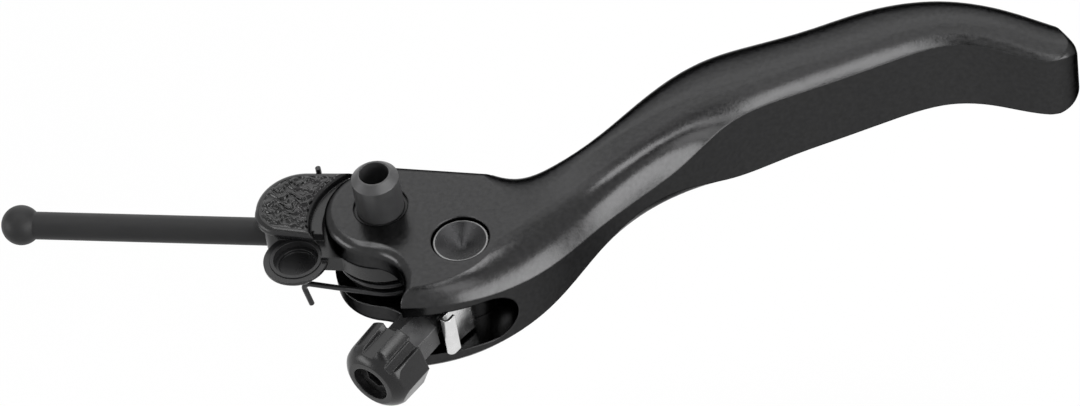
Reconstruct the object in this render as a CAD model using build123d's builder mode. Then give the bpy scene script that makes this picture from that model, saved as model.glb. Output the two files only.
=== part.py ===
import os
from math import cos, hypot, radians, sin, sqrt, tan

from build123d import *

# Bicycle brake lever: forged blade with a clevis, cam link, pushrod, return spring and reach adjuster.
# Millimetres. Origin on the pivot axis at the lever's mid plane, +Z along the pivot, +X away from the pushrod.

# pivot sleeve and its plain bushes
sleeve_od = 6.7
sleeve_bore = 4.2
sleeve_top = 14.7
sleeve_bottom = 13.3
sleeve_chamfer = 1.0
run_gap = 0.05
bush_wall = 0.45
bush_recess = 0.4
washer_thick = 0.4
washer_od = 12.4

# clevis end of the blade
hub_half = 8.0
hub_spare = 0.3
slot_half = 4.1
ear_radius = 8.2
ear_round = 1.5
flare_radius = 6.5
flare_centre_x = -1.0
flare_mid_turn = 38.0
rim_margin = 0.1
hub_back_x = 14.6
hub_back_drop = 0.8
slot_end_x = 20.5
slot_end_y = -12.0
slot_lean = 10.0

# reach barrel, a cross dowel through both ears
barrel_x = 12.28
barrel_y = -5.71
barrel_radius = 4.1
barrel_gap = 0.05
barrel_recess = 0.45
barrel_dish_radius = 3.6
barrel_dish_depth = 1.5
barrel_rim = 0.25

# reach screw axis, measured from the barrel towards the knob
screw_angle = 62.5
screw_radius = 1.6
screw_tip = -5.4
screw_dome = 1.0
screw_back = 14.0
screw_hole_end = 16.5
journal_radius = 2.4
journal_end = 0.4
neck_start = 10.9
neck_corner = 3.4
neck_turn = 32.0
neck_end = 21.4
key_corner = 1.75
key_depth = 3.0

# reach knob
knob_back = 16.2
knob_back_radius = 5.55
knob_radius = 5.3
knob_nose_start = 20.7
knob_nose = 22.75
knob_face_radius = 3.65
knob_mouth_radius = 2.8
knob_groove_floor = 4.65
knob_groove_turns = (95.0, 50.0)
knob_groove_widths = (2.75, 2.1)
knob_groove_taper = 0.45
knob_groove_flare = 2.0
knob_groove_spread = 0.5
knob_flat = 5.0
knob_flat_turns = (17.0, -23.0)
knob_sides = 2
knob_nose_bulge = (0.2, 0.25)

# detent clip, folded sheet steel beside the knob's neck
clip_thick = 0.4
clip_half = 3.4
clip_bend = 0.6
clip_seat_gap = 0.02
clip_far = 4.15
clip_near = 3.4
clip_front = 10.5
clip_hem = 1.6
clip_hem_lean = 0.1
clip_fold_share = 0.9
clip_hole_gap = 0.25
clip_base_left = 2.9

# cam link
cam_flange_bottom = 1.0
cam_flange_radius = 8.0
cam_flange_back = 6.4
cam_flange_front = -4.8
eye_x = -11.9
eye_y = -5.9
eye_radius = 4.65
eye_edge = 0.45
eye_foot_radius = 3.3
eye_top = 3.0
eye_bush_radius = 3.7
eye_bore = 3.2
eye_bush_depth = 0.9
eye_bush_proud = 0.15
eye_cup_radius = 2.6
eye_cup_floor = 1.6
web_left = -10.4
web_front = -6.1
web_back = 5.2
head_left = -17.4
head_right = -9.6
head_front = -2.35
head_back = 5.45
head_bottom = -3.3
head_step = 5.0
head_top = 6.0
head_round = 0.75
head_corner = 1.6
head_gap = 0.5
shoulder_right = -4.6
shoulder_past_coil = 1.2
shoulder_left = -13.4
shoulder_front = -2.9
cap_front_right = (-9.3, -4.2)
cap_front_left = (-14.6, -3.6)
cap_front_bend = (-17.5, -2.2)
cap_left = (-18.6, 0.9)
cap_back_bend_x = -17.1
cap_bend_within_coil = 0.8
cap_back_left_x = -12.4
cap_back_right_x = -5.6
cap_left_past_coil = 1.52
cap_right_past_coil = 1.72
cap_right = (-10.15, 1.8)
arm_near = 8.3
arm_half = 1.9
arm_face_half = 1.9
arm_depth = 3.4
arm_gap = 0.05
arm_root = 5.0
arm_root_front = -1.5
arm_far_share = 0.5

# pushrod and its barrel
rod_y = 1.8
rod_radius = 2.0
rod_end_radius = 1.6
rod_shoulder = 3.2
rod_bury = 1.4
ball_x = -54.2
ball_radius = 2.9
rod_barrel_x = -13.4
rod_barrel_radius = 2.9
rod_barrel_half = 3.0
rod_barrel_chamfer = 0.3
rod_swing = 8.0
mouth_gap = 0.2
mouth_over = 2.0

# return spring
wire = 0.8
coil_radius = 7.0
coil_pitch = 1.6
coil_bottom = -2.6
coil_turn = 262.0
coil_half_turns = 3
coil_clear = 0.15
leg_bend = 1.1
leg_a_x = -12.0
leg_a_drop = 4.4
leg_a_lean = 0.75
leg_b_x = -10.8
leg_b_top = 6.25

# how far a cutting tool runs on past the metal
cut_over = 1.0

# values that follow
sleeve_radius = sleeve_od / 2
bush_inner = sleeve_radius + run_gap
bush_outer = bush_inner + bush_wall
cam_half = slot_half - washer_thick - run_gap
coil_inner = coil_radius - wire / 2
cam_hub_radius = coil_inner - coil_clear
# the back of the cam's head stays just clear of the spring's standing leg, so it follows the coil
shoulder_back = coil_inner + shoulder_past_coil
cap_back_bend = (cap_back_bend_x, coil_inner - cap_bend_within_coil)
cap_back_left = (cap_back_left_x, coil_inner + cap_left_past_coil)
cap_back_right = (cap_back_right_x, coil_inner + cap_right_past_coil)
screw_way = Vector(cos(radians(screw_angle)), sin(radians(screw_angle)), 0)
screw_side = Vector(sin(radians(screw_angle)), -cos(radians(screw_angle)), 0)
barrel_centre = Vector(barrel_x, barrel_y, 0)
knob_plane = Plane(origin=barrel_centre, x_dir=screw_side, z_dir=screw_way * -1)
turning_plane = Plane(origin=barrel_centre, x_dir=screw_side, z_dir=(0, 0, 1))
knob_axis = Axis(barrel_centre, screw_way)
rod_axis = Axis((0, rod_y, 0), (1, 0, 0))

# blade stations along the lever: front point, back point, half height of the flat front face,
# half height of the crown, and where the crown's flat starts and ends, measured from the front
hub_top = hub_half + hub_spare
blade_stations = [
    ((-13.0, -18.0), (-13.0, 12.0), 6.9, hub_top, 3.0, 27.0),
    ((-4.1, -17.8), (-4.6, 12.0), 6.9, hub_top, 3.0, 27.0),
    ((4.9, -17.3), (3.7, 12.0), 6.1, hub_top, 3.4, 26.4),
    ((14.3, -15.0), (11.6, 10.2), 5.3, hub_top, 5.5, 21.4),
    ((23.6, -8.0), (17.2, 10.3), 3.85, 7.2, 7.4, 12.0),
    ((30.0, 2.0), (21.9, 13.5), 2.1, 5.6, 5.8, 9.0),
    ((35.8, 9.7), (27.3, 19.1), 1.35, 5.6, 5.0, 8.2),
    ((41.1, 14.8), (33.1, 27.3), 2.7, 6.3, 5.2, 7.6),
    ((46.9, 19.8), (39.8, 34.3), 5.6, 6.85, 4.8, 6.2),
    ((54.2, 24.5), (47.6, 38.2), 6.0, 6.85, 4.2, 5.5),
    ((61.9, 28.6), (55.5, 41.6), 5.9, 6.8, 4.2, 5.4),
    ((69.0, 32.5), (63.9, 45.7), 5.9, 6.75, 4.1, 5.3),
    ((75.7, 35.3), (74.0, 47.4), 6.0, 6.75, 3.8, 4.9),
    ((82.7, 35.1), (84.2, 45.7), 5.85, 6.4, 3.2, 4.2),
    ((90.7, 33.2), (92.9, 42.6), 5.4, 5.75, 2.6, 3.4),
    ((99.0, 31.6), (101.4, 40.2), 3.6, 3.8, 2.4, 3.2),
]
flank_rise = 0.75
flank_lead = 0.28
crown_lead = 0.55
back_fullness = 0.6

# flared front edge of the ears: a concave arc that runs on from the round end
flare_centre_y = -sqrt((ear_radius + flare_radius) ** 2 - flare_centre_x**2)
flare_share = ear_radius / (ear_radius + flare_radius)
flare_meet = (flare_centre_x * flare_share, flare_centre_y * flare_share)
flare_end = (flare_centre_x + flare_radius, flare_centre_y)
flare_mid = (
    flare_centre_x + flare_radius * cos(radians(flare_mid_turn)),
    flare_centre_y + flare_radius * sin(radians(flare_mid_turn)),
)
far_out = 120.0

# rounded tip in plan, from the front edge over the nose to the back
tip_front = (90.3, 33.2)
tip_front_bend = (93.2, 34.4)
tip_nose = (94.5, 36.8)
nose_front = (90.6, 31.9)
nose_front_way = (0.985, 0.174)
nose_end = (94.5, 36.0)
nose_turn = (93.9, 38.4)
nose_back = (89.0, 43.6)
nose_half = 6.2
nose_round = 3.0
nose_join = 86.0
nose_run = 40.0

# bullet nose of the tip: its plan runs straight back from both ends of the arcs, and its rims are well rounded;
# the block behind it leaves the rest of the blade alone
with BuildPart() as nose_trim:
    with BuildSketch(Plane.XY.offset(-nose_half)):
        with BuildLine():
            front_arc = TangentArc(nose_front, nose_end, tangent=nose_front_way)
            end_arc = TangentArc(nose_end, nose_turn, tangent=front_arc % 1)
            back_arc = TangentArc(nose_turn, nose_back, tangent=end_arc % 1)
            front_far = front_arc @ 0 - (front_arc % 0) * nose_run
            back_far = back_arc @ 1 + (back_arc % 1) * nose_run
            Line(front_far, front_arc @ 0)
            Polyline(back_arc @ 1, back_far, front_far)
        make_face()
    extrude(amount=2 * nose_half)
    nose_rims = nose_trim.faces().filter_by(Axis.Z).edges().filter_by(lambda e: e.center().X > nose_join)
    fillet(nose_rims, radius=nose_round)
    with Locations((nose_join, 0, 0)):
        Box(2 * far_out, 2 * far_out, 2 * hub_half, align=(Align.MAX, Align.CENTER, Align.CENTER))

# what trims the forging: the clevis end in plan with rounded rims, flat top and bottom, and the tip's front
with BuildPart() as forging_trim:
    with BuildSketch(Plane.XY.offset(-hub_half)):
        with BuildLine():
            Line((hub_back_x, ear_radius - hub_back_drop), (0, ear_radius))
            ThreePointArc((0, ear_radius), (-ear_radius, 0), flare_meet)
            ThreePointArc(flare_meet, flare_mid, flare_end)
            Polyline(
                flare_end,
                (flare_end[0], -far_out),
                (tip_front[0], -far_out),
                tip_front,
            )
            ThreePointArc(tip_front, tip_front_bend, tip_nose)
            Polyline(
                tip_nose,
                (tip_nose[0], far_out),
                (hub_back_x, far_out),
                (hub_back_x, ear_radius - hub_back_drop),
            )
        make_face()
    extrude(amount=2 * hub_half)
    rims = forging_trim.faces().filter_by(Axis.Z).edges()
    ear_rims = rims.filter_by(lambda e: -ear_radius < e.center().X < flare_end[0] + rim_margin)
    fillet(ear_rims, radius=ear_round)

with BuildPart() as lever_blade:
    for front, back, face_half, crown_half, crown_from, crown_to in blade_stations:
        run_x = back[0] - front[0]
        run_y = back[1] - front[1]
        depth = hypot(run_x, run_y)
        rise = crown_half - face_half
        section = Plane(origin=(front[0], front[1], 0), x_dir=(run_x, run_y, 0), z_dir=(run_y, -run_x, 0))
        lead = (crown_from * flank_lead, face_half + rise * flank_rise)
        level = (crown_from * crown_lead, crown_half)
        turn = (crown_to + (depth - crown_to) * back_fullness, crown_half)
        with BuildSketch(section):
            with BuildLine():
                Line((0, -face_half), (0, face_half))
                Bezier((0, face_half), lead, level, (crown_from, crown_half))
                Line((crown_from, crown_half), (crown_to, crown_half))
                Bezier((crown_to, crown_half), turn, (depth, crown_half * back_fullness), (depth, 0))
                Bezier((depth, 0), (depth, -crown_half * back_fullness), (turn[0], -turn[1]), (crown_to, -crown_half))
                Line((crown_to, -crown_half), (crown_from, -crown_half))
                Bezier((crown_from, -crown_half), (level[0], -level[1]), (lead[0], -lead[1]), (0, -face_half))
            make_face()
    loft()
    add(forging_trim.part, mode=Mode.INTERSECT)
    add(nose_trim.part, mode=Mode.INTERSECT)
    # slot between the ears, milled from front to back with a round end
    slot_plane = Plane(
        origin=(slot_end_x, slot_end_y, 0),
        x_dir=(cos(radians(slot_lean)), sin(radians(slot_lean)), 0),
        z_dir=(sin(radians(slot_lean)), -cos(radians(slot_lean)), 0),
    )
    with BuildSketch(slot_plane):
        with Locations((-slot_half, 0)):
            Circle(slot_half)
            Rectangle(far_out, 2 * slot_half, align=(Align.MAX, Align.CENTER))
    extrude(amount=far_out, both=True, mode=Mode.SUBTRACT)
    with Locations((0, 0, hub_half)):
        Hole(bush_outer, depth=2 * hub_half)
    with Locations((barrel_x, barrel_y, hub_half)):
        Hole(barrel_radius + barrel_gap, depth=2 * hub_half)
lever_blade.part.label = "lever_blade"

with BuildPart() as pivot_sleeve:
    with BuildSketch(Plane.XY.offset(-sleeve_bottom)):
        Circle(sleeve_radius)
        Circle(sleeve_bore / 2, mode=Mode.SUBTRACT)
    extrude(amount=sleeve_bottom + sleeve_top)
    chamfer(pivot_sleeve.edges().filter_by(GeomType.CIRCLE).group_by(SortBy.RADIUS)[-1], length=sleeve_chamfer)
pivot_sleeve.part.label = "pivot_sleeve"

ear_bush_length = hub_half - bush_recess - slot_half
with BuildPart() as upper_ear_bush:
    with BuildSketch(Plane.XY.offset(slot_half)):
        Circle(bush_outer)
        Circle(bush_inner, mode=Mode.SUBTRACT)
    extrude(amount=ear_bush_length)
upper_ear_bush.part.label = "upper_ear_bush"

with BuildPart() as lower_ear_bush:
    with BuildSketch(Plane.XY.offset(-slot_half)):
        Circle(bush_outer)
        Circle(bush_inner, mode=Mode.SUBTRACT)
    extrude(amount=-ear_bush_length)
lower_ear_bush.part.label = "lower_ear_bush"

with BuildPart() as upper_thrust_washer:
    with BuildSketch(Plane.XY.offset(slot_half)):
        Circle(washer_od / 2)
        Circle(bush_inner, mode=Mode.SUBTRACT)
    extrude(amount=-washer_thick)
upper_thrust_washer.part.label = "upper_thrust_washer"

with BuildPart() as lower_thrust_washer:
    with BuildSketch(Plane.XY.offset(-slot_half)):
        Circle(washer_od / 2)
        Circle(bush_inner, mode=Mode.SUBTRACT)
    extrude(amount=washer_thick)
lower_thrust_washer.part.label = "lower_thrust_washer"

# the arm's face stands square to the screw, just ahead of its tip
arm_touch = barrel_centre + screw_way * (arm_gap - screw_tip)
arm_left = arm_touch - screw_side * arm_face_half
arm_right = arm_touch + screw_side * arm_face_half
arm_far_left = arm_left + screw_way * arm_depth
arm_far_right = arm_right + screw_way * arm_depth * arm_far_share
mouth_half = rod_radius + mouth_gap
mouth_run = rod_barrel_x - head_left + mouth_over
mouth_wide = mouth_half + mouth_run * tan(radians(rod_swing))

with BuildPart() as cam_link:
    with BuildSketch(Plane.XY.offset(-cam_half)):
        Circle(cam_hub_radius)
    extrude(amount=cam_half + cam_flange_bottom)
    # flange, with its web to the head and to the eye
    with BuildSketch(Plane.XY.offset(cam_flange_bottom)):
        Circle(cam_flange_radius)
        with BuildLine():
            Polyline(
                (0, cam_flange_back),
                (web_left, web_back),
                (web_left, web_front),
                (cam_flange_front, web_front),
                (0, cam_flange_back),
            )
        make_face()
    extrude(amount=cam_half - cam_flange_bottom)
    # eye: a thin-edged dish on a tapered foot
    with BuildSketch(Plane(origin=(eye_x, eye_y, 0), x_dir=(1, 0, 0), z_dir=(0, -1, 0))):
        with BuildLine():
            Polyline(
                (0, cam_flange_bottom),
                (eye_foot_radius, cam_flange_bottom),
                (eye_radius, eye_top - eye_edge),
                (eye_radius, eye_top),
                (0, eye_top),
                (0, cam_flange_bottom),
            )
        make_face()
    revolve(axis=Axis((eye_x, eye_y, 0), (0, 0, 1)))
    # head round the pushrod barrel
    with BuildSketch(Plane.XY.offset(head_bottom)):
        with BuildLine():
            Polyline(
                (head_right, head_front),
                (head_left, head_front),
                (head_left, head_back),
                (head_right, head_back),
                (head_right, head_front),
            )
        make_face()
    extrude(amount=head_step - head_bottom)
    corners = cam_link.edges().filter_by(Axis.Z).group_by(Axis.X)[0]
    fillet(corners, radius=head_corner)
    # shoulder under the cap, which closes the head against the ears and clears them
    with BuildSketch(Plane.XY.offset(cam_flange_bottom)):
        with BuildLine():
            Polyline(
                (shoulder_right, shoulder_back),
                (shoulder_left, shoulder_back),
                (head_left + head_corner, head_back),
                (head_right, head_back),
                (head_right, shoulder_front),
                (shoulder_right, shoulder_front),
                (shoulder_right, shoulder_back),
            )
        make_face()
        Circle(ear_radius + head_gap, mode=Mode.SUBTRACT)
    extrude(amount=head_step - cam_flange_bottom)
    # cap plate with the cast top face
    with BuildSketch(Plane.XY.offset(head_step)):
        with BuildLine():
            Line(cap_front_right, cap_front_left)
            ThreePointArc(cap_front_left, cap_front_bend, cap_left)
            ThreePointArc(cap_left, cap_back_bend, cap_back_left)
            Line(cap_back_left, cap_back_right)
            ThreePointArc(cap_back_right, cap_right, cap_front_right)
        make_face()
    extrude(amount=head_top - head_step)
    fillet(cam_link.faces().sort_by(Axis.Z)[-1].edges(), radius=head_round)
    # arm for the reach screw: a bridge over the spring, then a block down to the screw's level
    with BuildSketch(Plane.XY.offset(cam_flange_bottom)):
        with BuildLine():
            Polyline(
                (arm_root, arm_root),
                (arm_far_left.X, arm_far_left.Y),
                (arm_left.X, arm_left.Y),
                (arm_root, arm_root_front),
                (arm_root, arm_root),
            )
        make_face()
    extrude(amount=cam_half - cam_flange_bottom)
    with BuildSketch(Plane.XY.offset(-arm_half)):
        with BuildLine():
            Polyline(
                (arm_left.X, arm_left.Y),
                (arm_right.X, arm_right.Y),
                (arm_far_right.X, arm_far_right.Y),
                (arm_far_left.X, arm_far_left.Y),
                (arm_left.X, arm_left.Y),
            )
        make_face()
        Circle(arm_near, mode=Mode.SUBTRACT)
    extrude(amount=2 * arm_half)
    # bores
    with Locations((0, 0, cam_half)):
        Hole(bush_outer, depth=2 * cam_half)
    with Locations((eye_x, eye_y, eye_top)):
        Hole(eye_bush_radius, depth=eye_bush_depth)
    with BuildSketch(Plane.XY.offset(eye_cup_floor)):
        with Locations((eye_x, eye_y)):
            Circle(eye_cup_radius)
    extrude(amount=eye_top - eye_cup_floor, mode=Mode.SUBTRACT)
    with BuildSketch(Plane.XY.offset(head_bottom)):
        with Locations((rod_barrel_x, rod_y)):
            Circle(rod_barrel_radius + run_gap)
    extrude(amount=rod_barrel_half + mouth_gap - head_bottom, mode=Mode.SUBTRACT)
    # mouth that lets the pushrod swing
    with BuildSketch(Plane.XY.offset(-mouth_half)):
        with BuildLine():
            Polyline(
                (rod_barrel_x, rod_y - mouth_half),
                (rod_barrel_x - mouth_run, rod_y - mouth_wide),
                (rod_barrel_x - mouth_run, rod_y + mouth_wide),
                (rod_barrel_x, rod_y + mouth_half),
                (rod_barrel_x, rod_y - mouth_half),
            )
        make_face()
    extrude(amount=2 * mouth_half, mode=Mode.SUBTRACT)
cam_link.part.label = "cam_link"

with BuildPart() as upper_cam_bush:
    with BuildSketch(Plane.XY.offset(run_gap)):
        Circle(bush_outer)
        Circle(bush_inner, mode=Mode.SUBTRACT)
    extrude(amount=cam_half - run_gap)
upper_cam_bush.part.label = "upper_cam_bush"

with BuildPart() as lower_cam_bush:
    with BuildSketch(Plane.XY.offset(-run_gap)):
        Circle(bush_outer)
        Circle(bush_inner, mode=Mode.SUBTRACT)
    extrude(amount=-(cam_half - run_gap))
lower_cam_bush.part.label = "lower_cam_bush"

with BuildPart() as eye_bush:
    with BuildSketch(Plane.XY.offset(eye_top - eye_bush_depth)):
        with Locations((eye_x, eye_y)):
            Circle(eye_bush_radius)
            Circle(eye_bore, mode=Mode.SUBTRACT)
    extrude(amount=eye_bush_depth + eye_bush_proud)
eye_bush.part.label = "eye_bush"

# spring: leg A hangs free for the brake body, leg B stands up behind the cam's head;
# each half turn of the coil is a flat arc tilted by half the pitch, so that one runs smoothly into the next
coil_side = Vector(cos(radians(coil_turn)), sin(radians(coil_turn)), 0)
leg_way = Vector(sin(radians(coil_turn)), -cos(radians(coil_turn)), 0)
half_rise = Vector(0, 0, coil_pitch / 2)
a_start = coil_side * coil_radius + Vector(0, 0, coil_bottom)
a_corner = a_start + leg_way * ((leg_a_x - a_start.X) / leg_way.X)
a_end = a_corner + Vector(leg_a_lean, 0, -leg_a_drop)
b_start = coil_side * -coil_radius + Vector(0, 0, coil_bottom) + half_rise * coil_half_turns
b_corner = b_start + leg_way * ((leg_b_x - b_start.X) / leg_way.X)
b_end = Vector(b_corner.X, b_corner.Y, leg_b_top)

with BuildPart() as return_spring:
    with BuildLine() as spring_line:
        FilletPolyline(a_end, a_corner, a_start, radius=leg_bend)
        for half_turn in range(coil_half_turns):
            side = (-1) ** half_turn
            arc_start = coil_side * (coil_radius * side) + Vector(0, 0, coil_bottom) + half_rise * half_turn
            arc_mid = leg_way * (-coil_radius * side) + Vector(0, 0, coil_bottom) + half_rise * (half_turn + 0.5)
            arc_end = coil_side * (-coil_radius * side) + Vector(0, 0, coil_bottom) + half_rise * (half_turn + 1)
            ThreePointArc(arc_start, arc_mid, arc_end)
        FilletPolyline(b_start, b_corner, b_end, radius=leg_bend)
    with BuildSketch(Plane(origin=a_end, z_dir=a_corner - a_end)):
        Circle(wire / 2)
    sweep(path=spring_line.wire())
return_spring.part.label = "return_spring"

rod_left = ball_x + sqrt(ball_radius**2 - rod_radius**2)
rod_right = rod_barrel_x - rod_shoulder
with BuildPart() as pushrod:
    with BuildSketch(Plane.XY):
        with BuildLine():
            Line((ball_x - ball_radius, rod_y), (rod_barrel_x + rod_bury, rod_y))
            Polyline(
                (rod_barrel_x + rod_bury, rod_y),
                (rod_barrel_x + rod_bury, rod_y + rod_end_radius),
                (rod_right, rod_y + rod_end_radius),
                (rod_right, rod_y + rod_radius),
                (rod_left, rod_y + rod_radius),
            )
            ThreePointArc(
                (rod_left, rod_y + rod_radius),
                (ball_x, rod_y + ball_radius),
                (ball_x - ball_radius, rod_y),
            )
        make_face()
    revolve(axis=rod_axis)
pushrod.part.label = "pushrod"

with BuildPart() as pushrod_barrel:
    with BuildSketch(Plane.XY.offset(-rod_barrel_half)):
        with Locations((rod_barrel_x, rod_y)):
            Circle(rod_barrel_radius)
    extrude(amount=2 * rod_barrel_half)
    chamfer(pushrod_barrel.edges().filter_by(GeomType.CIRCLE), length=rod_barrel_chamfer)
    with BuildSketch(Plane(origin=(rod_barrel_x + rod_bury, rod_y, 0), x_dir=(0, 1, 0), z_dir=(-1, 0, 0))):
        Circle(rod_end_radius)
    extrude(amount=rod_bury + rod_barrel_radius + cut_over, mode=Mode.SUBTRACT)
pushrod_barrel.part.label = "pushrod_barrel"

with BuildPart() as reach_barrel:
    barrel_half = hub_half - barrel_recess
    with BuildSketch(Plane.XY.offset(-barrel_half)):
        with Locations((barrel_x, barrel_y)):
            Circle(barrel_radius)
    extrude(amount=2 * barrel_half)
    chamfer(reach_barrel.edges().filter_by(GeomType.CIRCLE), length=barrel_rim)
    # turned dish in each end
    with BuildSketch(Plane(origin=barrel_centre, x_dir=(1, 0, 0), z_dir=(0, -1, 0))):
        with BuildLine():
            Polyline(
                (0, barrel_half - barrel_dish_depth),
                (barrel_dish_radius, barrel_half),
                (0, barrel_half),
                (0, barrel_half - barrel_dish_depth),
            )
        make_face()
        mirror(about=Plane.XZ)
    revolve(axis=Axis(barrel_centre, (0, 0, 1)), mode=Mode.SUBTRACT)
    # cross bores for the knob's journal and the screw
    with BuildSketch(knob_plane.offset(journal_end - run_gap)):
        Circle(journal_radius + run_gap)
    extrude(amount=2 * barrel_radius, mode=Mode.SUBTRACT)
    with BuildSketch(knob_plane.offset(-2 * barrel_radius)):
        Circle(screw_radius + run_gap)
    extrude(amount=4 * barrel_radius, mode=Mode.SUBTRACT)
reach_barrel.part.label = "reach_barrel"

with BuildPart() as reach_sleeve:
    with BuildSketch(knob_plane.offset(journal_end)):
        Circle(journal_radius)
    extrude(amount=neck_start - journal_end)
    with BuildSketch(knob_plane.offset(neck_start)):
        RegularPolygon(neck_corner, 6, rotation=neck_turn)
    extrude(amount=neck_end - neck_start)
    with BuildSketch(knob_plane.offset(journal_end)):
        Circle(screw_radius + run_gap)
    extrude(amount=screw_hole_end - journal_end, mode=Mode.SUBTRACT)
    with BuildSketch(knob_plane.offset(neck_end)):
        RegularPolygon(key_corner, 6, rotation=neck_turn)
    extrude(amount=-key_depth, mode=Mode.SUBTRACT)
reach_sleeve.part.label = "reach_sleeve"

nose_mid_x = (knob_radius + knob_face_radius) / 2 + knob_nose_bulge[0]
nose_mid_y = (knob_nose_start + knob_nose) / 2 + knob_nose_bulge[1]
with BuildPart() as reach_knob:
    with BuildSketch(turning_plane):
        with BuildLine():
            Polyline(
                (0, -knob_nose),
                (0, -knob_back),
                (knob_back_radius, -knob_back),
                (knob_radius, -knob_nose_start),
            )
            ThreePointArc((knob_radius, -knob_nose_start), (nose_mid_x, -nose_mid_y), (knob_face_radius, -knob_nose))
            Line((knob_face_radius, -knob_nose), (0, -knob_nose))
        make_face()
    revolve(axis=knob_axis)
    # grip: two grooves and two flats, the same again half a turn on
    with BuildSketch(knob_plane.offset(knob_back)):
        for side in range(knob_sides):
            for turn, width in zip(knob_groove_turns, knob_groove_widths):
                with Locations(Location((0, 0, 0), (0, 0, turn + 360 / knob_sides * side))):
                    Polygon(
                        (knob_groove_floor, width / 2 - knob_groove_taper),
                        (knob_groove_floor, knob_groove_taper - width / 2),
                        (knob_groove_floor + knob_groove_flare, -width / 2 - knob_groove_spread),
                        (knob_groove_floor + knob_groove_flare, width / 2 + knob_groove_spread),
                        align=None,
                    )
            for turn in knob_flat_turns:
                with Locations(Location((0, 0, 0), (0, 0, turn + 360 / knob_sides * side))):
                    with Locations((knob_flat, 0)):
                        Rectangle(knob_radius, knob_radius, align=(Align.MIN, Align.CENTER))
    extrude(amount=knob_nose, mode=Mode.SUBTRACT)
    with BuildSketch(knob_plane.offset(neck_end)):
        Circle(knob_mouth_radius)
    extrude(amount=knob_nose, mode=Mode.SUBTRACT)
    with BuildSketch(knob_plane.offset(knob_back)):
        RegularPolygon(neck_corner, 6, rotation=neck_turn)
    extrude(amount=neck_end - knob_back, mode=Mode.SUBTRACT)
reach_knob.part.label = "reach_knob"

with BuildPart() as reach_screw:
    with BuildSketch(knob_plane.offset(screw_tip)):
        Circle(screw_radius)
    extrude(amount=screw_back - screw_tip)
    fillet(reach_screw.faces().sort_by(knob_axis)[-1].edges(), radius=screw_dome)
reach_screw.part.label = "reach_screw"

# clip in plan: base square to the screw, leaf along the neck, folded hem at its front edge
clip_reach = barrel_radius + clip_seat_gap
clip_middle = clip_thick / 2
clip_base = clip_reach + clip_middle
hem_out = clip_near + 2 * clip_bend
with BuildPart() as detent_clip:
    with BuildSketch(Plane(origin=barrel_centre - Vector(0, 0, clip_half), x_dir=screw_side, z_dir=(0, 0, 1))):
        with BuildLine() as fold:
            FilletPolyline(
                (-clip_base_left, -clip_base),
                (clip_far, -clip_base),
                (clip_near, -clip_front),
                (hem_out, -clip_front),
                (hem_out + clip_hem_lean, -clip_front + clip_hem),
                radius=clip_bend * clip_fold_share,
            )
        trace(lines=fold.line, line_width=clip_thick)
    extrude(amount=2 * clip_half)
    with BuildSketch(knob_plane.offset(clip_reach - cut_over)):
        Circle(journal_radius + clip_hole_gap)
    extrude(amount=clip_thick + 2 * cut_over, mode=Mode.SUBTRACT)
detent_clip.part.label = "detent_clip"

os.makedirs("parts", exist_ok=True)
for piece in (
    lever_blade,
    pivot_sleeve,
    upper_ear_bush,
    lower_ear_bush,
    upper_thrust_washer,
    lower_thrust_washer,
    cam_link,
    upper_cam_bush,
    lower_cam_bush,
    eye_bush,
    return_spring,
    pushrod,
    pushrod_barrel,
    reach_barrel,
    reach_sleeve,
    reach_knob,
    reach_screw,
    detent_clip,
):
    export_step(piece.part, f"parts/{piece.part.label}.step")
    print(piece.part.label, round(piece.part.volume, 2), len(piece.part.solids()))
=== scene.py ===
import bpy
import numpy as np
from mathutils import Matrix, Vector


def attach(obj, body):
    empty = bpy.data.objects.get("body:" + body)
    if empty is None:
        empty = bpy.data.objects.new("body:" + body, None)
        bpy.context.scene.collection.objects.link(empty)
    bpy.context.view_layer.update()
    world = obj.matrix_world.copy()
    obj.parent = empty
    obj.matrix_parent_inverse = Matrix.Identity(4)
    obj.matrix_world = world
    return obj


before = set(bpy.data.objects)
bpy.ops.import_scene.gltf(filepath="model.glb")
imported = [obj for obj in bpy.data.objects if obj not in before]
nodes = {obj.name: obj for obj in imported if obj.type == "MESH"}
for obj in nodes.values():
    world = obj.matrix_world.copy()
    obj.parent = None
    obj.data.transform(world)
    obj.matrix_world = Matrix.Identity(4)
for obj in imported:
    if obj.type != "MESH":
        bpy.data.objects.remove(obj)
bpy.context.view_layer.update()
mm = 0.001
print("lever frame loaded,", len(nodes), "nodes")


# finishes: linear colours, lengths in metres

def startFinish(name):
    mat = bpy.data.materials.get(name) or bpy.data.materials.new(name)
    mat.use_nodes = True
    tree = mat.node_tree
    tree.nodes.clear()
    out = tree.nodes.new("ShaderNodeOutputMaterial")
    shader = tree.nodes.new("ShaderNodeBsdfPrincipled")
    tree.links.new(shader.outputs["BSDF"], out.inputs["Surface"])
    return mat, tree, shader


def addNode(tree, kind, **settings):
    node = tree.nodes.new(kind)
    for key, value in settings.items():
        if key in node.inputs:
            node.inputs[key].default_value = value
        else:
            setattr(node, key, value)
    return node


def objectNoise(tree, scale, detail, stretch=(1, 1, 1)):
    coord = addNode(tree, "ShaderNodeTexCoord")
    mapping = addNode(tree, "ShaderNodeMapping", Scale=stretch)
    noise = addNode(tree, "ShaderNodeTexNoise", Scale=scale, Detail=detail)
    tree.links.new(coord.outputs["Object"], mapping.inputs["Vector"])
    tree.links.new(mapping.outputs["Vector"], noise.inputs["Vector"])
    return noise


noiseSpan = (0.3, 0.7)  # where most of a noise's values lie


def spread(tree, source, low, high, fromLow=noiseSpan[0], fromHigh=noiseSpan[1]):
    ranged = addNode(tree, "ShaderNodeMapRange")
    ranged.inputs["From Min"].default_value = fromLow
    ranged.inputs["From Max"].default_value = fromHigh
    ranged.inputs["To Min"].default_value = low
    ranged.inputs["To Max"].default_value = high
    tree.links.new(source, ranged.inputs["Value"])
    return ranged.outputs["Result"]


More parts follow.
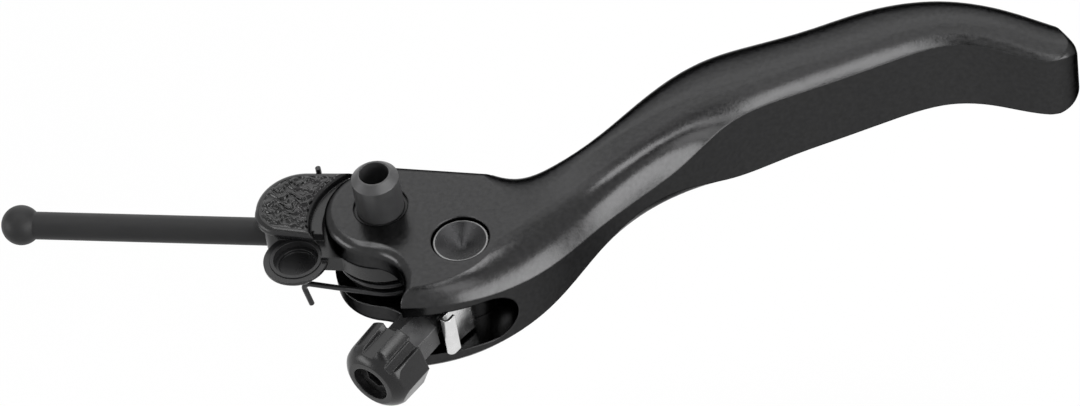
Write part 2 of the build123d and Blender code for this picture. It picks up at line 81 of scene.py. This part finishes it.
finishBase = {
    "cloudDetail": 3.0, "grainDetail": 2.0, "edgeSamples": 6,
    "edgeSheen": 0.35, "edgeSheenSpan": (0.80, 0.98),  # how strong the painted edge highlight is, and over which turn of the rounded normal
}


def makeFinish(name, look):
    # cloudy noise drives roughness and colour tone, a fine grain the bump, and a paler line is painted along rounded
    # edges as a highlight
    mat, tree, shader = startFinish(name)
    shader.inputs["Metallic"].default_value = look.get("metal", 0.0)
    shader.inputs["Specular IOR Level"].default_value = look.get("gloss", 0.5)
    shader.inputs["Specular Tint"].default_value = (*look.get("edgeTint", (1, 1, 1)), 1)
    cloud = objectNoise(tree, look["cloudScale"], finishBase["cloudDetail"])
    rough = spread(tree, cloud.outputs["Fac"], *look["rough"])
    tree.links.new(rough, shader.inputs["Roughness"])

    grain = objectNoise(tree, look["grainScale"], finishBase["grainDetail"], look.get("grainStretch", (1, 1, 1)))
    soften = addNode(tree, "ShaderNodeBevel", samples=finishBase["edgeSamples"], Radius=look["edge"])
    bump = addNode(tree, "ShaderNodeBump", Strength=1.0, Distance=look["grainDepth"])
    tree.links.new(grain.outputs["Fac"], bump.inputs["Height"])
    tree.links.new(soften.outputs["Normal"], bump.inputs["Normal"])
    tree.links.new(bump.outputs["Normal"], shader.inputs["Normal"])

    # painted highlight: the base colour turns paler where the rounded normal turns away from the true one, along
    # edges
    geometry = addNode(tree, "ShaderNodeNewGeometry")
    turn = addNode(tree, "ShaderNodeVectorMath", operation="DOT_PRODUCT")
    tree.links.new(soften.outputs["Normal"], turn.inputs[0])
    tree.links.new(geometry.outputs["Normal"], turn.inputs[1])
    edgeSheen = spread(tree, turn.outputs["Value"], look.get("edgeSheen", finishBase["edgeSheen"]), 0.0, *finishBase["edgeSheenSpan"])
    shade = addNode(tree, "ShaderNodeMix", data_type="RGBA")
    shade.inputs["A"].default_value = (*look["colour"], 1)
    shade.inputs["B"].default_value = (*look["colourAlt"], 1)
    tree.links.new(spread(tree, cloud.outputs["Fac"], 0.0, 1.0), shade.inputs["Factor"])
    edgeSheenMix = addNode(tree, "ShaderNodeMix", data_type="RGBA")
    edgeSheenMix.inputs["B"].default_value = (*look["edgeSheenColour"], 1)
    tree.links.new(edgeSheen, edgeSheenMix.inputs["Factor"])
    tree.links.new(shade.outputs["Result"], edgeSheenMix.inputs["A"])
    tree.links.new(edgeSheenMix.outputs["Result"], shader.inputs["Base Color"])
    return mat, tree, shader


bladeLook = {
    "colour": (0.0335, 0.0335, 0.0339), "colourAlt": (0.0420, 0.0420, 0.0425), "metal": 1.0,
    "edgeSheenColour": (0.046, 0.046, 0.047), "rough": (0.19, 0.25), "cloudScale": 1500.0,
    "grainScale": 3200.0, "grainDepth": 0.000010, "edge": 0.00035, "edgeTint": (0.30, 0.30, 0.30),
}
makeFinish("blade_black", bladeLook)

camLook = {
    "colour": (0.0095, 0.0095, 0.0100), "colourAlt": (0.0125, 0.0125, 0.0130),
    "edgeSheenColour": (0.024, 0.024, 0.025), "rough": (0.24, 0.34), "cloudScale": 300.0,
    "grainScale": 3000.0, "grainDepth": 0.000006, "edge": 0.00025, "gloss": 0.32,
}
makeFinish("cam_cast", camLook)

rodLook = {
    "colour": (0.0078, 0.0078, 0.0082), "colourAlt": (0.0098, 0.0098, 0.0102),
    "edgeSheenColour": (0.020, 0.020, 0.020), "rough": (0.46, 0.56), "cloudScale": 220.0,
    "grainScale": 4200.0, "grainDepth": 0.000006, "edge": 0.00015, "gloss": 0.26,
}
makeFinish("steel_black", rodLook)

sleeveLook = {
    "colour": (0.040, 0.040, 0.041), "colourAlt": (0.052, 0.052, 0.053), "metal": 0.35,
    "edgeSheenColour": (0.12, 0.12, 0.12), "rough": (0.34, 0.46), "cloudScale": 400.0,
    "grainScale": 5000.0, "grainDepth": 0.000004, "grainStretch": (1, 1, 9), "edge": 0.00012, "gloss": 0.5,
}
makeFinish("sleeve_grey", sleeveLook)

bushLook = {
    "colour": (0.0095, 0.0095, 0.0100), "colourAlt": (0.0130, 0.0130, 0.0135),
    "edgeSheenColour": (0.030, 0.030, 0.030), "rough": (0.44, 0.56), "cloudScale": 350.0,
    "grainScale": 4000.0, "grainDepth": 0.000004, "edge": 0.00010, "gloss": 0.4,
}
makeFinish("bush_plastic", bushLook)

springLook = {
    "colour": (0.018, 0.018, 0.019), "colourAlt": (0.028, 0.028, 0.029), "metal": 0.6,
    "edgeSheenColour": (0.08, 0.08, 0.08), "rough": (0.28, 0.42), "cloudScale": 600.0,
    "grainScale": 6000.0, "grainDepth": 0.000003, "edge": 0.00005, "gloss": 0.5,
}
makeFinish("spring_wire", springLook)

neckLook = {
    "colour": (0.045, 0.045, 0.046), "colourAlt": (0.065, 0.065, 0.066), "metal": 0.7,
    "edgeSheenColour": (0.20, 0.20, 0.20), "rough": (0.24, 0.34), "cloudScale": 500.0,
    "grainScale": 5000.0, "grainDepth": 0.000004, "edge": 0.00012, "gloss": 0.5,
}
makeFinish("neck_steel", neckLook)

knobLook = {
    "colour": (0.0065, 0.0065, 0.0068), "colourAlt": (0.0085, 0.0085, 0.0088),
    "edgeSheenColour": (0.075, 0.075, 0.075), "rough": (0.20, 0.27), "cloudScale": 260.0,
    "grainScale": 5200.0, "grainDepth": 0.000003, "edge": 0.00024, "gloss": 0.28,
}
makeFinish("knob_plastic", knobLook)

clipLook = {
    "colour": (0.66, 0.66, 0.66), "colourAlt": (0.74, 0.74, 0.74), "metal": 1.0,
    "edgeSheenColour": (0.84, 0.84, 0.84), "rough": (0.20, 0.30), "cloudScale": 700.0,
    "grainScale": 3000.0, "grainDepth": 0.000002, "grainStretch": (1, 1, 12), "edge": 0.00006, "gloss": 0.5,
}
makeFinish("clip_steel", clipLook)

barrelLook = {
    "colour": (0.026, 0.026, 0.027), "colourAlt": (0.036, 0.036, 0.037), "metal": 1.0,
    "edgeSheenColour": (0.20, 0.20, 0.20), "rough": (0.22, 0.30), "cloudScale": 500.0,
    "grainScale": 4000.0, "grainDepth": 0.000002, "edge": 0.00012, "gloss": 0.5,
    "centre": (12.28 * mm, -5.71 * mm), "ringSpacing": 0.00022, "ringDepth": 0.000006, "brushed": 0.75,
    "rimHighlightSpan": (3.58 * mm, 3.64 * mm), "rimHighlightColour": (0.15, 0.15, 0.15),  # a painted highlight ring, from the dish's edge outwards
}


def makeTurnedFinish(name, look):
    # lathe rings: a sine of the distance from the barrel's axis, added to the grain
    mat, tree, shader = makeFinish(name, look)
    shader.inputs["Anisotropic"].default_value = look["brushed"]
    coord = addNode(tree, "ShaderNodeTexCoord")
    centred = addNode(tree, "ShaderNodeMapping")
    centred.inputs["Location"].default_value = (-look["centre"][0], -look["centre"][1], 0)
    flat = addNode(tree, "ShaderNodeVectorMath", operation="MULTIPLY")
    flat.inputs[1].default_value = (1, 1, 0)
    reach = addNode(tree, "ShaderNodeVectorMath", operation="LENGTH")
    count = addNode(tree, "ShaderNodeMath", operation="MULTIPLY")
    count.inputs[1].default_value = 2 * np.pi / look["ringSpacing"]
    wave = addNode(tree, "ShaderNodeMath", operation="SINE")
    bump = addNode(tree, "ShaderNodeBump", Distance=look["ringDepth"])
    tree.links.new(coord.outputs["Object"], centred.inputs["Vector"])
    tree.links.new(centred.outputs["Vector"], flat.inputs[0])
    tree.links.new(flat.outputs["Vector"], reach.inputs[0])
    tree.links.new(reach.outputs["Value"], count.inputs[0])
    tree.links.new(count.outputs["Value"], wave.inputs[0])
    tree.links.new(wave.outputs["Value"], bump.inputs["Height"])
    tree.links.new(shader.inputs["Normal"].links[0].from_socket, bump.inputs["Normal"])
    tree.links.new(bump.outputs["Normal"], shader.inputs["Normal"])
    # painted highlight: a pale ring just outside the dish stands for light caught on the rim's edge
    rim = addNode(tree, "ShaderNodeMix", data_type="RGBA")
    rim.inputs["B"].default_value = (*look["rimHighlightColour"], 1)
    rimHighlightShare = spread(tree, reach.outputs["Value"], 0.0, 1.0, *look["rimHighlightSpan"])
    tree.links.new(rimHighlightShare, rim.inputs["Factor"])
    tree.links.new(shader.inputs["Base Color"].links[0].from_socket, rim.inputs["A"])
    tree.links.new(rim.outputs["Result"], shader.inputs["Base Color"])
    # brushed the way the lathe turned it: the tangent runs round the axis
    tangent = addNode(tree, "ShaderNodeVectorMath", operation="CROSS_PRODUCT")
    tangent.inputs[0].default_value = (0, 0, 1)
    tree.links.new(flat.outputs["Vector"], tangent.inputs[1])
    unit = addNode(tree, "ShaderNodeVectorMath", operation="NORMALIZE")
    tree.links.new(tangent.outputs["Vector"], unit.inputs[0])
    tree.links.new(unit.outputs["Vector"], shader.inputs["Tangent"])
    return mat


makeTurnedFinish("barrel_turned", barrelLook)
print("finishes made")


# cast skin on the cam head, in millimetres

headSkin = {
    "frontRight": (-9.3, -4.2), "frontLeft": (-14.6, -3.6), "frontBend": (-17.5, -2.2), "left": (-18.6, 0.9),
    "backBend": (-17.1, 5.8), "backLeft": (-12.4, 8.12), "backRight": (-5.6, 8.32), "right": (-10.15, 1.8),
    "rim": 0.75, "top": 6.0, "inset": 0.30, "lift": 0.03, "relief": 0.36, "bead": 0.10,
    "plainBand": 0.95, "plainRight": 0.40, "fade": 0.45, "ridge": 1.45, "breaks": 0.65,
    "bend": 0.30, "bendRun": (2.2, 6.0), "bendAcross": (2.5, 7.0), "breakRun": (1.6, 4.0), "breakAcross": (1.1, 2.6),
    "bendWaves": 14, "breakWaves": 24, "steep": 1.3, "seed": 11,
    "around": 420, "across": 120, "crowding": 0.8, "runPoints": 80, "edgePoints": 600, "centre": (-13.9, 3.4),
}


def arcThrough(a, b, c, count):
    # circle through three points, walked from a to c by way of b
    a, b, c = (np.array(p, float) for p in (a, b, c))
    sides = 2 * np.array([b - a, c - a])
    centre = np.linalg.solve(sides, [b @ b - a @ a, c @ c - a @ a])
    angles = [np.arctan2(*(p - centre)[::-1]) for p in (a, b, c)]
    full = (angles[2] - angles[0]) % (2 * np.pi)
    part = (angles[1] - angles[0]) % (2 * np.pi)
    turn = full if part < full else full - 2 * np.pi
    t = angles[0] + turn * np.linspace(0, 1, count)
    radius = np.linalg.norm(a - centre)
    return centre + radius * np.stack([np.cos(t), np.sin(t)], 1)


def evenPoints(runs, count, closed):
    # join the runs end to end and space the points evenly along them
    line = np.concatenate([run[:-1] for run in runs] + [runs[-1][-1:]])
    along = np.concatenate([[0], np.cumsum(np.linalg.norm(np.diff(line, axis=0), axis=1))])
    even = np.linspace(0, along[-1], count, endpoint=not closed)
    return np.stack([np.interp(even, along, line[:, 0]), np.interp(even, along, line[:, 1])], 1)


def headRuns(look):
    # the head's plan: front run, left bend, back bend and back run, then the hollow right side
    count = look["runPoints"]
    outer = [np.linspace(look["frontRight"], look["frontLeft"], count),
             arcThrough(look["frontLeft"], look["frontBend"], look["left"], count),
             arcThrough(look["left"], look["backBend"], look["backLeft"], count),
             np.linspace(look["backLeft"], look["backRight"], count)]
    right = arcThrough(look["backRight"], look["right"], look["frontRight"], count)
    return outer, right


def lineDistance(points, line):
    # shortest distance from each point to a run of short straight pieces
    start, span = line[:-1], np.diff(line, axis=0)
    best = np.empty(len(points))
    for block in np.array_split(np.arange(len(points)), 40):  # in parts, to spare memory
        off = points[block, None, :] - start[None]
        t = np.clip((off * span).sum(2) / (span * span).sum(1), 0, 1)
        gap = off - t[..., None] * span
        best[block] = np.sqrt((gap * gap).sum(2)).min(1)
    return best


def smoothStep(t):
    # eases from 0 to 1 with level ends
    t = np.clip(t, 0, 1)
    return t * t * (3 - 2 * t)


def waveSum(x, y, alongX, alongY, rng, count):
    # random plane waves whose lengths lie in the two given ranges, summed to about unit height
    kx = 2 * np.pi / rng.uniform(*alongX, count) * rng.choice([-1, 1], count)
    ky = 2 * np.pi / rng.uniform(*alongY, count)
    phase = rng.uniform(0, 2 * np.pi, count)
    return np.sin(kx * x[:, None] + ky * y[:, None] + phase).sum(1) / np.sqrt(count / 2)


def castWrinkle(x, y, look):
    # evenly spaced ridges along the pushrod, bent sideways by slow waves and broken up by shorter ones
    rng = np.random.default_rng(look["seed"])
    bend = look["bend"] * waveSum(x, y, look["bendRun"], look["bendAcross"], rng, look["bendWaves"])
    breaks = waveSum(x, y, look["breakRun"], look["breakAcross"], rng, look["breakWaves"])
    field = np.sin(2 * np.pi * (y + bend) / look["ridge"]) + look["breaks"] * breaks
    return 0.5 + 0.5 * np.tanh(look["steep"] * field)


def makeHeadSkin(look):
    # fan of the outline about a centre; height follows the rounded rim, a smooth bead and the wrinkles inside it
    outer, right = headRuns(look)
    line = evenPoints(outer + [right], look["around"], True)
    centre = np.array(look["centre"])
    share = np.linspace(0, 1, look["across"] + 1)[1:] ** look["crowding"]
    away = line - centre
    shrink = 1 - look["inset"] / np.linalg.norm(away, axis=1)
    grid = centre + share[:, None, None] * (away * shrink[:, None])[None]
    points = np.vstack([grid.reshape(-1, 2), centre[None]])
    outerGap = lineDistance(points, evenPoints(outer, look["edgePoints"], False))
    rightGap = lineDistance(points, right)
    edge = np.minimum(outerGap, rightGap)
    short = np.clip(look["rim"] - edge, 0, look["rim"])
    drop = look["rim"] - np.sqrt(look["rim"] ** 2 - short ** 2)
    inside = smoothStep((outerGap - look["plainBand"]) / look["fade"])
    inside *= smoothStep((rightGap - look["plainRight"]) / look["fade"])
    bead = look["bead"] * smoothStep((edge - look["inset"]) / look["fade"]) * (1 - inside)
    wrinkle = inside * look["relief"] * castWrinkle(points[:, 0], points[:, 1], look)
    z = look["top"] - drop + look["lift"] + bead + wrinkle
    verts = np.column_stack([points, z]) * mm
    n, m = look["across"], look["around"]
    row = np.arange(n * m).reshape(n, m)
    a, b = row[:-1], row[1:]
    quads = np.stack([a, np.roll(a, -1, 1), np.roll(b, -1, 1), b], 2).reshape(-1, 4)
    hub = np.full(m, n * m)
    caps = np.stack([hub, np.roll(row[0], -1), row[0]], 1)
    mesh = bpy.data.meshes.new("cam_head_skin")
    mesh.from_pydata(verts.tolist(), [], quads.tolist() + caps.tolist())
    mesh.polygons.foreach_set("use_smooth", np.ones(len(mesh.polygons), bool))
    mesh.update()
    skin = bpy.data.objects.new("cam_head_skin", mesh)
    bpy.context.collection.objects.link(skin)
    return skin


headLook = {
    "colour": (0.0030, 0.0030, 0.0032), "colourAlt": (0.0045, 0.0045, 0.0047),
    "edgeSheenColour": (0.0045, 0.0045, 0.0047), "rough": (0.13, 0.19), "cloudScale": 500.0,
    "grainScale": 4500.0, "grainDepth": 0.000003, "edge": 0.00003, "gloss": 0.36, "edgeSheen": 0.0,
}
skin = makeHeadSkin(headSkin)
skin.data.materials.append(makeFinish("cam_head_cast", headLook)[0])
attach(skin, "cam")
print("cast skin laid on the cam head:", len(skin.data.polygons), "faces")


# floor, light and camera

floorLook = {"z": -0.075, "reach": 4.0, "tone": 0.80, "rough": 0.9, "seen": 0.93}


def seenRays(tree):
    # 1 for rays that show the backdrop itself, straight on, mirrored or through something clear
    path = addNode(tree, "ShaderNodeLightPath")
    mirrored = addNode(tree, "ShaderNodeMath", operation="MAXIMUM")
    clear = addNode(tree, "ShaderNodeMath", operation="MAXIMUM")
    tree.links.new(path.outputs["Is Camera Ray"], mirrored.inputs[0])
    tree.links.new(path.outputs["Is Glossy Ray"], mirrored.inputs[1])
    tree.links.new(mirrored.outputs["Value"], clear.inputs[0])
    tree.links.new(path.outputs["Is Transmission Ray"], clear.inputs[1])
    return clear.outputs["Value"]


def mixInto(tree, share, first, second, out):
    mix = addNode(tree, "ShaderNodeMixShader")
    tree.links.new(share, mix.inputs["Fac"])
    tree.links.new(first, mix.inputs[1])
    tree.links.new(second, mix.inputs[2])
    tree.links.new(mix.outputs["Shader"], out.inputs["Surface"])


def makeFloor(look):
    # one flat square under the lever
    r, z = look["reach"], look["z"]
    mesh = bpy.data.meshes.new("floor")
    mesh.from_pydata([(-r, -r, z), (r, -r, z), (r, r, z), (-r, r, z)], [], [(0, 1, 2, 3)])
    floor = bpy.data.objects.new("floor", mesh)
    bpy.context.collection.objects.link(floor)
    mat, tree, shader = startFinish("floor_pale")
    shader.inputs["Base Color"].default_value = (look["tone"], look["tone"], look["tone"], 1)
    shader.inputs["Roughness"].default_value = look["rough"]
    shader.inputs["Specular IOR Level"].default_value = 0.0
    glow = addNode(tree, "ShaderNodeEmission", Strength=1.0)  # white where it is seen, less the rest for the shadow
    share = addNode(tree, "ShaderNodeMath", operation="MULTIPLY")
    share.inputs[1].default_value = look["seen"]
    tree.links.new(seenRays(tree), share.inputs[0])
    out = [n for n in tree.nodes if n.type == "OUTPUT_MATERIAL"][0]
    mixInto(tree, share.outputs["Value"], shader.outputs["BSDF"], glow.outputs["Emission"], out)
    mesh.materials.append(mat)


makeFloor(floorLook)

studio = {
    "fill": 0.14, "around": 1.0, "above": 0.25, "fadeFrom": 0.80, "fadeTo": 0.95, "aim": (0.035, 0.015, 0.0),
    "panels": [
        {"name": "over_panel", "place": (0.35, 0.36, 1.50), "size": (0.342, 0.80), "turn": 12.0, "glow": 8.5},
        {"name": "over_front", "place": (0.29, -0.29, 1.50), "size": (0.17, 0.56), "turn": 16.0, "glow": 6.0},
        {"name": "link_panel", "place": (0.64, -0.76, 1.12), "size": (0.50, 0.62), "glow": 2.4},
        {"name": "right_wall", "place": (1.00, -0.45, 0.33), "size": (1.32, 0.66), "glow": 6.4},
        {"name": "left_over", "place": (-0.60, 0.05, 1.50), "size": (0.30, 1.50), "turn": -6.0, "glow": 5.5},
        {"name": "left_wall", "place": (-1.00, -0.42, 0.22), "size": (0.70, 0.40), "glow": 5.0},
        {"name": "back_wall", "place": (-0.15, 1.00, 0.45), "size": (1.00, 0.90), "glow": 0.9},
        {"name": "hub_wall", "place": (-0.22, 0.88, 0.96), "size": (0.80, 0.50), "glow": 0.6},
        {"name": "bend_panel", "place": (-0.11, 0.30, 1.50), "size": (0.12, 0.35), "turn": 0.0, "glow": 1.5},
        {"name": "hump_panel", "place": (0.05, 0.86, 1.50), "size": (0.26, 0.34), "turn": 0.0, "glow": 1.3},
    ],
}


def makeStudio(look):
    # white all round and darker overhead, so that the panels stand out in what the metal mirrors
    world = bpy.data.worlds.new("studio")
    bpy.context.scene.world = world
    world.use_nodes = True
    tree = world.node_tree
    tree.nodes.clear()
    out = addNode(tree, "ShaderNodeOutputWorld")
    fill = addNode(tree, "ShaderNodeBackground", Color=(1, 1, 1, 1), Strength=look["fill"])
    seen = addNode(tree, "ShaderNodeBackground", Color=(1, 1, 1, 1))
    coord = addNode(tree, "ShaderNodeTexCoord")
    height = addNode(tree, "ShaderNodeSeparateXYZ")
    tree.links.new(coord.outputs["Generated"], height.inputs["Vector"])
    shade = spread(tree, height.outputs["Z"], look["around"], look["above"], look["fadeFrom"], look["fadeTo"])
    tree.links.new(shade, seen.inputs["Strength"])
    mixInto(tree, seenRays(tree), fill.outputs["Background"], seen.outputs["Background"], out)

    for panel in look["panels"]:
        lamp = bpy.data.lights.new(panel["name"], "AREA")
        lamp.shape = "RECTANGLE"
        lamp.size, lamp.size_y = panel["size"]
        lamp.energy = np.pi * panel["glow"] * lamp.size * lamp.size_y  # as bright whatever its size
        light = bpy.data.objects.new(panel["name"], lamp)
        light.location = panel["place"]
        if "turn" in panel:
            light.rotation_euler = (0, 0, np.radians(panel["turn"]))  # overhead, facing down
        else:
            light.rotation_euler = (Vector(look["aim"]) - light.location).to_track_quat("-Z", "Y").to_euler()
        bpy.context.collection.objects.link(light)


makeStudio(studio)

photoView = {
    "azimuth": 15.6, "elevation": 46.5, "roll": -10.0, "distance": 0.7, "pixel": 0.00014,
    "anchor": (0, 0, 0.008), "anchorPixel": (380.5, 206.0), "picture": (1080, 406),
    "lens": 166.67, "film": 36.0, "clip": (0.01, 20),
}


def makeCamera(look):
    # right, up and back directions from the two angles and the roll, aimed so the anchor lands on its pixel
    a, e, roll = np.radians([look["azimuth"], look["elevation"], look["roll"]])
    back = Vector((np.sin(a) * np.cos(e), -np.cos(a) * np.cos(e), np.sin(e)))
    level = Vector((np.cos(a), np.sin(a), 0))
    upright = back.cross(level)
    right = level * np.cos(roll) + upright * np.sin(roll)
    up = upright * np.cos(roll) - level * np.sin(roll)
    px, py = look["anchorPixel"]
    w, h = look["picture"]
    aim = Vector(look["anchor"]) + right * (w / 2 - px) * look["pixel"] + up * (py - h / 2) * look["pixel"]
    data = bpy.data.cameras.new("photo_camera")
    data.lens = look["lens"]
    data.sensor_width = look["film"]
    data.clip_start, data.clip_end = look["clip"]
    camera = bpy.data.objects.new("photo_camera", data)
    place = aim + back * look["distance"]
    camera.matrix_world = Matrix(((right.x, up.x, back.x, place.x), (right.y, up.y, back.y, place.y),
                                  (right.z, up.z, back.z, place.z), (0, 0, 0, 1)))
    bpy.context.collection.objects.link(camera)
    bpy.context.scene.camera = camera


makeCamera(photoView)
bpy.context.scene.view_settings.view_transform = "Standard"
print("floor, light and camera set")
